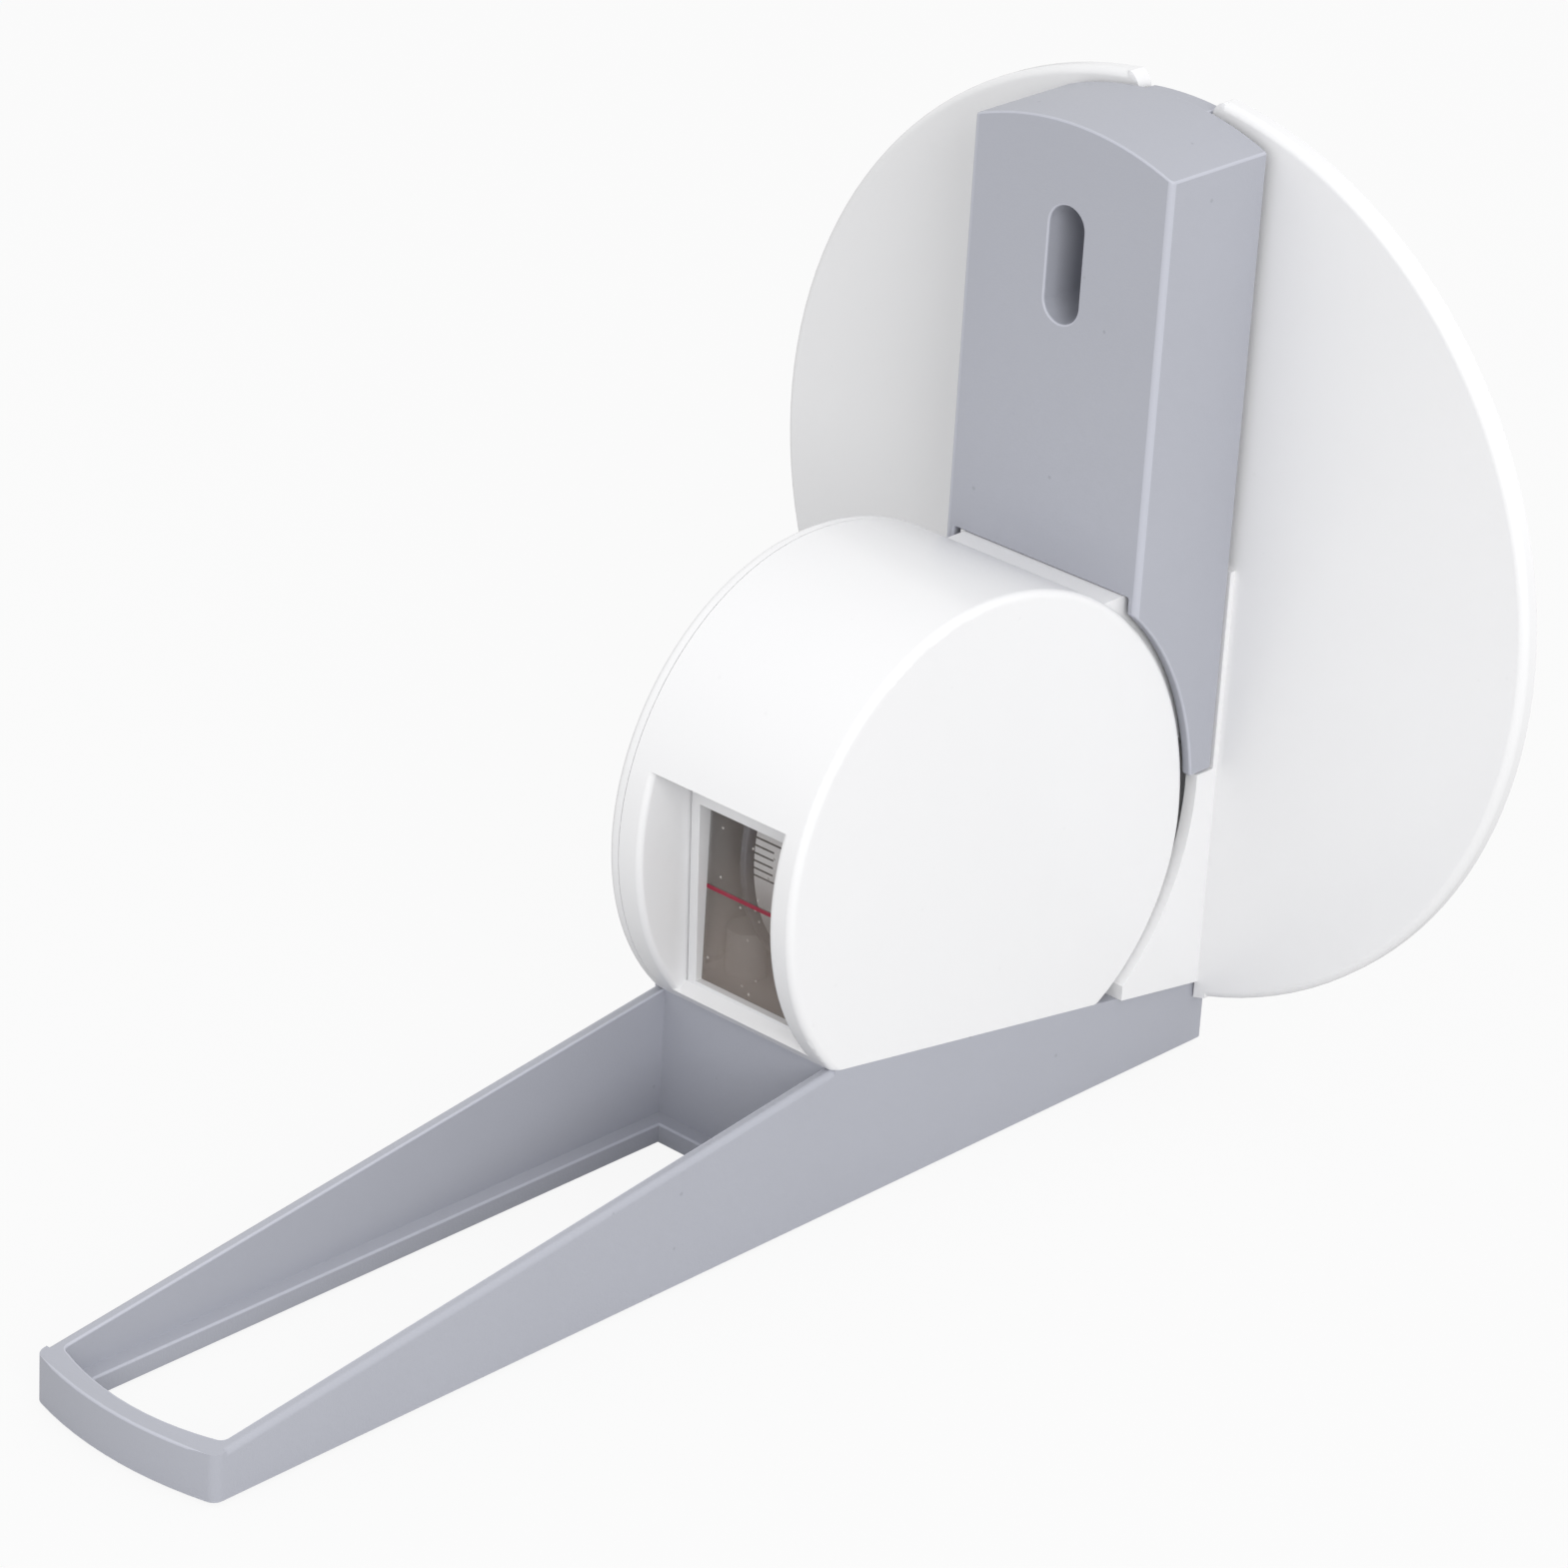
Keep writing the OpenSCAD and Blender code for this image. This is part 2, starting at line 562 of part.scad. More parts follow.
module housing_cover() color(WHITE) difference() {
    union() {
        mirror([1, 0, 0]) drum_solid(cover_x + fit_gap, half_w);
        across(-cover_x - fit_gap - eps, -cover_x + cover_lip) intersection() {
            drum_outline(shell_t + fit_gap, shell_t + fit_gap);
            union() {
                // the lip stops at the throat and at the wall of the window
                difference() {
                    square(4 * top_z, center = true);
                    drum_outline(shell_t + fit_gap + cover_lip_t, shell_t + fit_gap + cover_lip_t);
                    translate([-bracket_u - past, throat_low_z - past]) square([bracket_u + past, top_z]);
                    translate([-2 * front_u, 0])
                        square([2 * front_u - inner_front_u + 2 * fit_gap, top_z]);
                }
                for (p = cover_screw_places) translate(p) circle(boss_r, $fn = 32);
            }
        }
        across(-cover_x - fit_gap - eps, -boss_x) translate([-reel_u, reel_z]) circle(washer_r, $fn = 40);
    }
    across(-socket_x, -boss_x + past) translate([-reel_u, reel_z]) circle(axle_r + snug_gap, $fn = 40);
    for (p = cover_screw_places) {
        across(-half_w - past, 0) translate(p) circle(screw_r + snug_gap, $fn = 32);
        across(-half_w - past, -half_w + head_h) translate(p) circle(head_r + fit_gap, $fn = 32);
    }
}

module cover_screws() color(STEEL) for (p = cover_screw_places)
    translate([-half_w + head_h, p[0], p[1]]) rotate([0, 90, 0]) screw(screw_len);

module window_pane() color(SMOKE) difference() {
    translate([-sight_w / 2 - lip_w + fit_gap, -pane_front_u, sight_z - lip_w + fit_gap])
        cube([sight_w + 2 * (lip_w - fit_gap), pane_t, sight_h + 2 * (lip_w - fit_gap)]);
    translate([-sight_w / 2, -pane_front_u - past, index_z - index_h / 2])
        cube([sight_w, past + index_t, index_h]);
}

module index_line() color(RED) translate([-sight_w / 2, -pane_front_u, index_z - index_h / 2])
    cube([sight_w, index_t, index_h]);

module reel_axle() color(STEEL) across(-socket_x, socket_x) translate([-reel_u, reel_z])
    circle(axle_r, $fn = 40);

// A ring about the reel's axis
module reel_ring(x0, x1, r0, r1) across(x0, x1) translate([-reel_u, reel_z]) difference() {
    circle(r1, $fn = 120);
    circle(r0, $fn = 60);
}

module thrust_washers() color(STEEL) for (s = [0, 1]) mirror([s, 0, 0])
    reel_ring(boss_x - washer_t, boss_x, axle_r + snug_gap, washer_r);

module spring_arbor() color(STEEL) difference() {
    reel_ring(-flange_x + turn_gap, flange_x - turn_gap, axle_r + snug_gap, arbor_r);
    // slot for the spring's inner end
    translate([-flange_x, -reel_u - spring_t, reel_z + axle_r]) cube([2 * flange_x, 2 * spring_t, arbor_r]);
}

module guide_pin() color(STEEL) across(-pin_half + fit_gap, pin_half - fit_gap)
    translate([-pin_u, pin_z]) circle(pin_r, $fn = 40);

module reel_drum() color(DARK) {
    reel_ring(flange_x, reel_x, axle_r + bearing_gap, flange_r);
    reel_ring(-flange_x, flange_x + eps, hub_r - hub_t, hub_r);
}

module reel_cover() color(DARK) {
    reel_ring(-reel_x, -flange_x, axle_r + bearing_gap, flange_r);
    reel_ring(-flange_x - eps, spigot_len - flange_x, hub_r - hub_t - spigot_t, hub_r - hub_t - snug_gap);
}

// Strip wound from the arbor out to the hub, as a band of constant thickness
module recoil_spring() color(STEEL) {
    r0 = arbor_r + turn_gap;
    r1 = hub_r - hub_t - spigot_t - fit_gap - spring_t;
    steps = 22 * spring_turns;
    inner = [for (i = [0:steps]) polar([-reel_u, reel_z], r0 + (r1 - r0) * i / steps,
        360 * spring_turns * i / steps)];
    outer = [for (i = [steps:-1:0]) polar([-reel_u, reel_z], r0 + spring_t + (r1 - r0) * i / steps,
        360 * spring_turns * i / steps)];
    across(spigot_len - flange_x + fit_gap, flange_x - turn_gap) polygon(concat(inner, outer));
}

module tape_coil() color(WHITE) reel_ring(-tape_w / 2, tape_w / 2, hub_r + snug_gap, coil_r);

// Fixed stretch of tape from the coil to the guide pin and round it
module tape_lead() color(WHITE) {
    coil = [-reel_u, reel_z];
    pin = [-pin_u, pin_z];
    coil_mid_r = coil_r + snug_gap + tape_t / 2;
    pin_mid_r = pin_r + snug_gap + tape_t / 2;
    away = pin - coil;
    lean = atan2(away[1], away[0]) + asin((coil_mid_r - pin_mid_r) / norm(away)) - 90;
    angles = [for (i = [0:4]) lean * (1 - i / 4)];
    across(-tape_w / 2, tape_w / 2) polygon(concat(
        [polar(coil, coil_mid_r - tape_t / 2, lean)],
        [for (a = angles) polar(pin, pin_mid_r - tape_t / 2, a)],
        [for (i = [4:-1:0]) polar(pin, pin_mid_r + tape_t / 2, angles[i])],
        [polar(coil, coil_mid_r + tape_t / 2, lean)]));
}

module tape_run() color(WHITE) translate([-tape_w / 2, -tape_u - tape_t / 2, pin_z])
    cube([tape_w, tape_t, anchor_low - pin_z]);

// Front view of the notch, wider by grow on each side
module notch_outline(grow = 0) {
    half = notch_w / 2 + grow;
    translate([0, notch_z + notch_w / 2]) {
        circle(half, $fn = 48);
        translate([-half, 0]) square([2 * half, 2 * disc_r]);
    }
}

// Outlines drawn in [x, z] and carried out from the wall, from u0 to u1
module out_from_wall(u0, u1) translate([0, -u0, 0]) rotate([90, 0, 0]) linear_extrude(u1 - u0) children();

// Front view of the cut-out for the arm's heel, which goes on down past the disc
module heel_outline(grow = 0) translate([-half_w - turn_gap - grow, -disc_r])
    square([arm_w + 2 * (turn_gap + grow), seat_z(disc_t) + fit_gap + grow + disc_r]);

// Side view of the cheeks, from the back of the disc's plate on
module cheek_outline() difference() {
    intersection() {
        translate([-cheek_tip_u, 0]) square([cheek_tip_u - back_face_u, cheek_top]);
        over_seat();
    }
    translate(cheek_c) circle(cheek_r, $fn = 200);
}

module wall_disc() color(WHITE) {
    edge = [disc_r - disc_edge_r, disc_t - disc_edge_r];
    notch_end_z = disc_z + sqrt(disc_r * disc_r - notch_w * notch_w / 4);
    difference() {
        union() {
            translate([0, 0, disc_z]) rotate([90, 0, 0]) rotate_extrude($fn = 240)
                polygon(concat([[0, back_face_u], [disc_r - disc_rim_w, back_face_u],
                    [disc_r - disc_rim_w, 0], [disc_r, 0]],
                    [for (a = [0:15:90]) polar(edge, disc_edge_r, a)], [[0, disc_t]]));
            // rims along the notch and round the heel
            out_from_wall(0, disc_t - eps) intersection() {
                difference() {
                    union() {
                        notch_outline(disc_rim_w);
                        heel_outline(disc_rim_w);
                    }
                    notch_outline();
                    heel_outline();
                }
                translate([0, disc_z]) circle(disc_r - eps, $fn = 240);
            }
            // pad behind the bracket's cheeks
            translate([-cheek_half, -pad_u, cheek_top - cheek_wall])
                cube([2 * cheek_half, pad_u - back_face_u, pad_top - cheek_top + cheek_wall]);
            // cheeks beside the housing's back and the foot between them, which stands on the arm
            for (s = [0, 1]) mirror([s, 0, 0]) across(cheek_half - cheek_wall, cheek_half) cheek_outline();
            across(-cheek_half, cheek_half) difference() {
                cheek_outline();
                over_seat(cheek_wall);
            }
            // screw bosses on the foot
            intersection() {
                arm_screw_places([disc_screw_u]) translate([0, 0, grip + fit_gap])
                    cylinder(r = boss_r, h = screw_len - grip + boss_end, $fn = 32);
                across(-half_w, half_w) cheek_outline();
            }
        }
        out_from_wall(-past, 2 * pad_u) {
            notch_outline();
            heel_outline();
            // rounds the corners where the notch meets the rim
            for (s = [0, 1]) mirror([s, 0, 0])
                translate([notch_w / 2 + notch_corner_r, notch_end_z - notch_corner_r]) difference() {
                    translate([-notch_corner_r, 0]) square([notch_corner_r, notch_corner_r + past]);
                    circle(notch_corner_r, $fn = 32);
                }
        }
        arm_screw_places([disc_screw_u]) cylinder(r = screw_r + snug_gap, h = screw_len + tip_gap, $fn = 32);
        for (s = [-1, 1]) translate([s * screw_x, past, disc_screw_z]) rotate([90, 0, 0]) {
            cylinder(r = head_r + fit_gap, h = disc_head_u + past, $fn = 32);
            cylinder(r = screw_r + snug_gap, h = pad_u + 2 * past, $fn = 32);
        }
    }
}

module disc_screws() color(STEEL) for (s = [-1, 1]) translate([s * screw_x, -disc_head_u, disc_screw_z])
    rotate([90, 0, 0]) screw(screw_len);

// Upright slot with round ends
module slot_outline(w, len) for (s = [0, 1]) mirror([0, s, 0]) translate([0, (len - w) / 2]) {
    circle(w / 2, $fn = 40);
    translate([-w / 2, -(len - w) / 2]) square([w, (len - w) / 2]);
}

// Front view of the bracket, drawn in by d
module bracket_front(d = 0) {
    half = bracket_w / 2;
    crown_r = (half * half + bracket_crown * bracket_crown) / (2 * bracket_crown);
    intersection() {
        translate([-half + d, bracket_low - past]) square([2 * (half - d), 2 * disc_r]);
        translate([0, bracket_top + bracket_crown - crown_r]) circle(crown_r - d, $fn = 240);
    }
    translate([-half + d, bracket_low - past]) square([2 * (half - d), slot_z - bracket_low]);
}

module clamp_screw_places() for (z = [anchor_low + clamp_screw_in, anchor_top - clamp_screw_in])
    translate([0, clamp_t - clamp_u, z]) rotate([90, 0, 0]) children();

module clamp_screw_holes() clamp_screw_places() translate([0, 0, -past])
    cylinder(r = clamp_screw_r + snug_gap, h = clamp_screw_len + past + tip_gap, $fn = 24);

module wall_bracket() color(GREY) difference() {
    union() {
        difference() {
            intersection() {
                out_from_wall(bracket_back_u, bracket_u) bracket_front();
                across(-bracket_w, bracket_w) difference() {
                    translate([-bracket_u, bracket_low]) square([bracket_u, 2 * disc_r]);
                    translate([-front_u, back_z]) circle(back_r + cheek_gap, $fn = 240);
                }
            }
            out_from_wall(-past, inner_u) bracket_front(bracket_wall);
            translate([-bracket_w / 2 + bracket_wall, -bracket_u - past, 0])
                cube([bracket_w - 2 * bracket_wall, bracket_u, step_z + fit_gap]);
        }
        // boss that reaches the wall, and the post that the tape's end is clamped to
        intersection() {
            translate([-boss_w / 2, -inner_u - eps, boss_low]) cube([boss_w, inner_u + eps, bracket_top]);
            out_from_wall(0, bracket_u) bracket_front(bracket_wall / 2);
        }
        translate([-boss_w / 2, -inner_u - eps, anchor_low + clamp_in / 2])
            cube([boss_w, inner_u - tape_u - tape_t / 2, anchor_top - anchor_low - clamp_in / 2]);
        for (s = [0, 1]) mirror([s, 0, 0]) translate([0, -inner_u - eps, slot_z - bracket_rib_t / 2])
            cube([bracket_w / 2 - bracket_wall / 2, inner_u / 2, bracket_rib_t]);
    }
    translate([0, 0, slot_z]) {
        out_from_wall(bearing_t, bracket_u + past) slot_outline(slot_w, slot_len);
        out_from_wall(-past, bearing_t + past) slot_outline(shank_w, slot_len - slot_w + shank_w);
    }
    clamp_screw_holes();
}

module tape_end() color(WHITE) difference() {
    translate([-tape_w / 2, -tape_u - tape_t / 2, anchor_low])
        cube([tape_w, tape_t, anchor_top - anchor_low]);
    clamp_screw_holes();
}

module tape_clamp() color(STEEL) difference() {
    translate([-tape_w / 2 - tape_gap, -clamp_u, anchor_low + clamp_in])
        cube([tape_w + 2 * tape_gap, clamp_t, anchor_top - anchor_low - 2 * clamp_in]);
    clamp_screw_holes();
}

module clamp_screws() color(STEEL) clamp_screw_places() difference() {
    union() {
        cylinder(r = clamp_screw_r, h = clamp_screw_len, $fn = 24);
        translate([0, 0, -clamp_head_h]) cylinder(r = clamp_head_r, h = clamp_head_h, $fn = 28);
    }
    // slot
    translate([-2 * clamp_head_r, -clamp_head_r / 6, -clamp_head_h - eps])
        cube([4 * clamp_head_r, clamp_head_r / 3, clamp_head_h / 2]);
}

measuring_arm();
arm_screws();
housing_body();
housing_cover();
cover_screws();
window_pane();
index_line();
reel_axle();
thrust_washers();
spring_arbor();
guide_pin();
tape_lead();
wall_disc();
disc_screws();
reel_drum();
reel_cover();
recoil_spring();
tape_coil();
tape_run();
wall_bracket();
tape_end();
tape_clamp();
clamp_screws();
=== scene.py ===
import math
import bpy
import bmesh
from mathutils import Matrix, Vector


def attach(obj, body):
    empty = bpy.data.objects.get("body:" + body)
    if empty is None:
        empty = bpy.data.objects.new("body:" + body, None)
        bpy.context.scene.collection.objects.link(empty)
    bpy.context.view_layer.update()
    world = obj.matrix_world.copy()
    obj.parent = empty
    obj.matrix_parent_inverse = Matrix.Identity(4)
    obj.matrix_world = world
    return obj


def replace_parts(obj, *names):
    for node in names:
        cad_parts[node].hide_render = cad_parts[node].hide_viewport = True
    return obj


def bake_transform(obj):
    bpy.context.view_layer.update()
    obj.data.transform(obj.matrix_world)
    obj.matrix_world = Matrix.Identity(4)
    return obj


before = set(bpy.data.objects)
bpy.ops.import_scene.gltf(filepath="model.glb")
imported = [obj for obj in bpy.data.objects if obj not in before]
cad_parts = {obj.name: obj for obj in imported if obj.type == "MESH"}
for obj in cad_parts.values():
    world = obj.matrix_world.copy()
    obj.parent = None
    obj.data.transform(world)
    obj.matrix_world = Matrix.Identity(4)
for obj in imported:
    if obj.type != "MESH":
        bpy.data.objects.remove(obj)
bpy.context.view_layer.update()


# ---- Measuring arm ------------------------------------------------------------------------
# Open frame and deck moulded in satin grey ABS, with a few dust specks. The disc and the
# housing are screwed onto its deck. Its edges are slightly rounded, and the rounding takes a
# lighter, glossier finish that paints a highlight along them.

corner_gap = 2e-6                   # corners of a CAD mesh closer than this are one corner
flat_angle = math.radians(0.6)      # faces that turn less than this are one face
rounded_angle = math.radians(28)    # edges that turn more than this are rounded
crease_angle = math.radians(50)     # edges that turn more than this aren't shaded smooth


def colour(red, green, blue):
    """Linear colour of a paint or plastic read from 0 to 255."""
    def linear(v):
        v /= 255
        return v / 12.92 if v <= 0.04045 else ((v + 0.055) / 1.055) ** 2.4
    return (linear(red), linear(green), linear(blue), 1)


def finished(piece, body, finish, highlight_finish=None):
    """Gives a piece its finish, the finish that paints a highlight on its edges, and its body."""
    finishes = [finish, highlight_finish] if highlight_finish else [finish]
    while len(piece.data.materials) < len(finishes):
        piece.data.materials.append(None)
    for place, each in enumerate(finishes):
        piece.data.materials[place] = each
    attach(piece, body)


def settled(piece):
    """Applies a piece's modifiers."""
    for face in piece.data.polygons:
        face.use_smooth = True
    bpy.context.view_layer.update()
    plain = bpy.data.meshes.new_from_object(
        piece.evaluated_get(bpy.context.evaluated_depsgraph_get()))
    piece.modifiers.clear()
    piece.data = plain


def moulding(node, edge, soft_edge=0.0, softness=None, painted_highlight=False, crowded=False):
    """A moulded copy of a CAD node. Its edges are rounded to the radius edge, and those that
    have a softness above 0 to that share of the larger radius soft_edge. The larger radius
    gives way to short edges beside it, unless crowded is true. Where asked, the rounding is in
    the second material slot, a lighter finish that paints a highlight along the edges."""
    mesh = bpy.data.meshes.new(node + "_moulding")
    shape = bmesh.new()
    shape.from_mesh(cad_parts[node].data)
    shape.transform(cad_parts[node].matrix_world)
    bmesh.ops.remove_doubles(shape, verts=shape.verts, dist=corner_gap)
    bmesh.ops.dissolve_limit(shape, angle_limit=flat_angle, verts=shape.verts,
                             edges=shape.edges, delimit=set())
    if softness:
        weight = shape.edges.layers.float.new("bevel_weight_edge")
        for line in shape.edges:
            if line.calc_face_angle(0) > rounded_angle:
                line[weight] = softness(line)
    shape.to_mesh(mesh)
    shape.free()
    for _ in range(2 if painted_highlight else 1):
        mesh.materials.append(None)
    edge_slot = 1 if painted_highlight else -1
    piece = bpy.data.objects.new(node + "_moulding", mesh)
    bpy.context.collection.objects.link(piece)
    if softness:
        round_off = piece.modifiers.new("soft_edges", "BEVEL")
        round_off.width, round_off.segments = soft_edge, 5
        round_off.limit_method, round_off.material = "WEIGHT", edge_slot
        round_off.use_clamp_overlap = not crowded
    bevel = piece.modifiers.new("edges", "BEVEL")
    bevel.width, bevel.segments = edge, 2
    bevel.limit_method, bevel.angle_limit = "ANGLE", rounded_angle
    bevel.material = edge_slot
    bevel.use_clamp_overlap = True
    bevel.miter_outer = "MITER_ARC"
    settled(piece)
    piece.data.set_sharp_from_angle(angle=crease_angle)
    flat = piece.modifiers.new("flat_faces", "WEIGHTED_NORMAL")
    flat.weight, flat.keep_sharp = 100, True
    settled(piece)
    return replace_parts(piece, node)


def moulded_plastic(name, tint, rough, grain, grain_size, mottle=0.02, specks=0.0):
    """Moulded plastic: a fine grain of a height and size in metres, a little mottle in its
    colour and gloss, and dark specks of a strength from 0 to 1."""
    finish = bpy.data.materials.new(name)
    finish.use_nodes = True
    nodes, links = finish.node_tree.nodes, finish.node_tree.links
    shader = nodes["Principled BSDF"]
    shader.inputs["IOR"].default_value = 1.5
    place = nodes.new("ShaderNodeTexCoord")
    cloud = nodes.new("ShaderNodeTexNoise")
    cloud.inputs["Scale"].default_value = 45
    cloud.inputs["Detail"].default_value = 3
    fine = nodes.new("ShaderNodeTexNoise")
    fine.inputs["Scale"].default_value = 1 / grain_size
    fine.inputs["Detail"].default_value = 2
    shade = nodes.new("ShaderNodeMix")
    shade.data_type = "RGBA"
    shade.inputs["A"].default_value = [c * (1 - mottle) for c in tint[:3]] + [1]
    shade.inputs["B"].default_value = [min(1, c * (1 + mottle)) for c in tint[:3]] + [1]
    dust = nodes.new("ShaderNodeTexVoronoi")
    dust.inputs["Scale"].default_value = 160
    dot = nodes.new("ShaderNodeMapRange")
    dot.inputs["From Min"].default_value = 0.05
    dot.inputs["From Max"].default_value = 0.03
    dot.inputs["To Max"].default_value = specks
    marked = nodes.new("ShaderNodeMix")
    marked.data_type = "RGBA"
    marked.inputs["B"].default_value = [c * 0.45 for c in tint[:3]] + [1]
    gloss = nodes.new("ShaderNodeMapRange")
    gloss.inputs["To Min"].default_value = rough * 0.88
    gloss.inputs["To Max"].default_value = rough * 1.14
    bump = nodes.new("ShaderNodeBump")
    bump.inputs["Strength"].default_value = 1
    bump.inputs["Distance"].default_value = grain
    for source in (cloud, fine, dust):
        links.new(place.outputs["Object"], source.inputs["Vector"])
    links.new(cloud.outputs["Fac"], shade.inputs["Factor"])
    links.new(dust.outputs["Distance"], dot.inputs["Value"])
    links.new(dot.outputs["Result"], marked.inputs["Factor"])
    links.new(shade.outputs["Result"], marked.inputs["A"])
    links.new(marked.outputs["Result"], shader.inputs["Base Color"])
    links.new(fine.outputs["Fac"], gloss.inputs["Value"])
    links.new(gloss.outputs["Result"], shader.inputs["Roughness"])
    links.new(fine.outputs["Fac"], bump.inputs["Height"])
    links.new(bump.outputs["Normal"], shader.inputs["Normal"])
    return finish


grey_abs = moulded_plastic("grey_abs", colour(171, 173, 182), 0.45, 2.2e-5, 3.2e-4, 0.025, 0.3)
# a lighter, glossier finish for rounded edges, which paints a highlight along them
highlight_abs = moulded_plastic("highlight_abs", colour(186, 188, 198), 0.32, 6e-6, 3.2e-4, 0.02)


arm_half, outer_side = 0.015, 0.01495    # half the arm's width, and just inside its sides
nose_bulge, nose_reach = 0.0022, 0.1668  # how far the nose's front bows, and where it starts
nose_z, rail_start, rail_slope = 0.0062, 0.1684, 0.13618
ledge_z, housing_front = 0.0025, 0.0699
inner_half, nose_half = 0.01331, 0.013   # how far from the middle inner rims and nose are soft
on_height, on_sloped_top, on_wall = 2e-5, 6e-5, 1e-5
arm_share = 0.3


def arm_softness(line):
    """The arm's share round the inner rims of the frame, its foot and the front of the nose.
    The nose's corners are left out, because the short edges there can't take it."""
    def past_corners(v):
        return -v.co.y - nose_bulge * (1 - (v.co.x / arm_half) ** 2) > nose_reach
    def height_below_top(v):
        return nose_z + max(0, rail_start + v.co.y) * rail_slope - v.co.z
    ends = line.verts
    if not line.is_convex:
        return 0.0
    widest = max(abs(v.co.x) for v in ends)
    if all(abs(height_below_top(v)) < on_sloped_top and v.co.y < -housing_front for v in ends):
        limit = nose_half if all(past_corners(v) for v in ends) else inner_half
        return arm_share if widest < limit else 0.0
    on_ledge = all(abs(v.co.z - ledge_z) < on_height for v in ends)
    on_foot = all(abs(v.co.z) < 1e-6 and (abs(v.co.x) > outer_side or past_corners(v)
                                          or v.co.y > -on_wall) for v in ends)
    return arm_share if on_ledge or on_foot else 0.0


finished(moulding("measuring_arm", 0.0001, 0.0009, arm_softness, painted_highlight=True, crowded=True),
         "head", grey_abs, highlight_abs)


# ---- Screws, and the plate that clamps the tape -------------------------------------------
# Small self-tapping screws of the arm, cover, disc and clamp, headed from wire, and a pressed
# plate. All are zinc plated, which leaves dull spots, and have slightly rounded rims.

def plated_steel(name, tint, rough):
    """Plated, blued or plain steel, with dull spots in its colour and gloss."""
    finish = bpy.data.materials.new(name)
    finish.use_nodes = True
    nodes, links = finish.node_tree.nodes, finish.node_tree.links
    shader = nodes["Principled BSDF"]
    shader.inputs["Metallic"].default_value = 1
    place = nodes.new("ShaderNodeTexCoord")
    spots = nodes.new("ShaderNodeTexNoise")
    spots.inputs["Scale"].default_value = 900
    spots.inputs["Detail"].default_value = 3
    shade = nodes.new("ShaderNodeMix")
    shade.data_type = "RGBA"
    shade.inputs["A"].default_value = [c * 0.86 for c in tint[:3]] + [1]
    shade.inputs["B"].default_value = tint
    gloss = nodes.new("ShaderNodeMapRange")
    gloss.inputs["To Min"].default_value = rough * 0.75
    gloss.inputs["To Max"].default_value = rough * 1.25
    links.new(place.outputs["Object"], spots.inputs["Vector"])
    links.new(spots.outputs["Fac"], shade.inputs["Factor"])
    links.new(spots.outputs["Fac"], gloss.inputs["Value"])
    links.new(shade.outputs["Result"], shader.inputs["Base Color"])
    links.new(gloss.outputs["Result"], shader.inputs["Roughness"])
    return finish


zinc = plated_steel("zinc_plate", colour(196, 198, 202), 0.32)
for node, body in (("arm_screws", "head"), ("cover_screws", "head"), ("disc_screws", "head"),
                   ("clamp_screws", "bracket"), ("tape_clamp", "bracket")):
    finished(moulding(node, 0.00012), body, zinc)


# ---- Housing and its side cover -----------------------------------------------------------
# Two shells of glossy white ABS, screwed together from the left side. The upright edges of
# the recess in front of the window are well rounded.

front_y, front_z, front_r = -0.0474, 0.0421, 0.0321
recess_sides = (-0.0097, 0.0113)
on_curve = 6e-5


def beside_the_window(line):
    """Full for an edge where a side of the recess meets the housing's curved front."""
    a, b = (v.co for v in line.verts)
    on_front = all(abs(math.hypot(v.y - front_y, v.z - front_z) - front_r) < on_curve
                   for v in (a, b))
    on_side = abs(a.x - b.x) < on_wall and any(abs(a.x - x) < on_height for x in recess_sides)
    return float(on_front and on_side)


white_abs = moulded_plastic("white_abs", colour(236, 236, 237), 0.24, 4e-6, 6e-4, 0.008, 0.05)
finished(moulding("housing_body", 0.0002, 0.0008, beside_the_window), "head", white_abs)
finished(moulding("housing_cover", 0.0002), "head", white_abs)


# ---- Window and index line ----------------------------------------------------------------
# Thin pane of clear, faintly smoke-tinted acrylic behind a lip. A red line is printed into a
# groove across it. A little dust sticks to it, and a pale veil over it thickens to its lower end.

veil_low, veil_high = 0.027, 0.041     # heights between which the pale veil thins out

smoke = bpy.data.materials.new("smoke_acrylic")
smoke.use_nodes = True
nodes, links = smoke.node_tree.nodes, smoke.node_tree.links
shader = nodes["Principled BSDF"]
shader.inputs["Roughness"].default_value = 0.05
shader.inputs["IOR"].default_value = 1.49
place = nodes.new("ShaderNodeTexCoord")
dust = nodes.new("ShaderNodeTexVoronoi")
dust.inputs["Scale"].default_value = 420
dot = nodes.new("ShaderNodeMapRange")
dot.inputs["From Min"].default_value = 0.09
dot.inputs["From Max"].default_value = 0.05
height = nodes.new("ShaderNodeSeparateXYZ")
veil = nodes.new("ShaderNodeMapRange")
veil.inputs["From Min"].default_value = veil_low
veil.inputs["From Max"].default_value = veil_high
veil.inputs["To Min"].default_value = 0.42
veil.inputs["To Max"].default_value = 0.13
film = nodes.new("ShaderNodeMix")
film.inputs["B"].default_value = 0.62
tint = nodes.new("ShaderNodeMix")
tint.data_type = "RGBA"
tint.inputs["A"].default_value = colour(168, 155, 146)
tint.inputs["B"].default_value = colour(226, 222, 216)
links.new(place.outputs["Object"], dust.inputs["Vector"])
links.new(dust.outputs["Distance"], dot.inputs["Value"])
links.new(place.outputs["Object"], height.inputs["Vector"])
links.new(height.outputs["Z"], veil.inputs["Value"])
links.new(veil.outputs["Result"], film.inputs["A"])
links.new(dot.outputs["Result"], film.inputs["Factor"])
links.new(dot.outputs["Result"], tint.inputs["Factor"])
links.new(film.outputs["Result"], shader.inputs["Alpha"])
links.new(tint.outputs["Result"], shader.inputs["Base Color"])


def coated(names, finish):
    """Gives CAD nodes that stay as they are a finish."""
    for each in names:
        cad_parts[each].data.materials[0] = finish


coated(["window_pane"], smoke)
red_ink = moulded_plastic("red_ink", colour(152, 28, 56), 0.4, 1e-6, 2e-4, 0.05)
coated(["index_line"], red_ink)


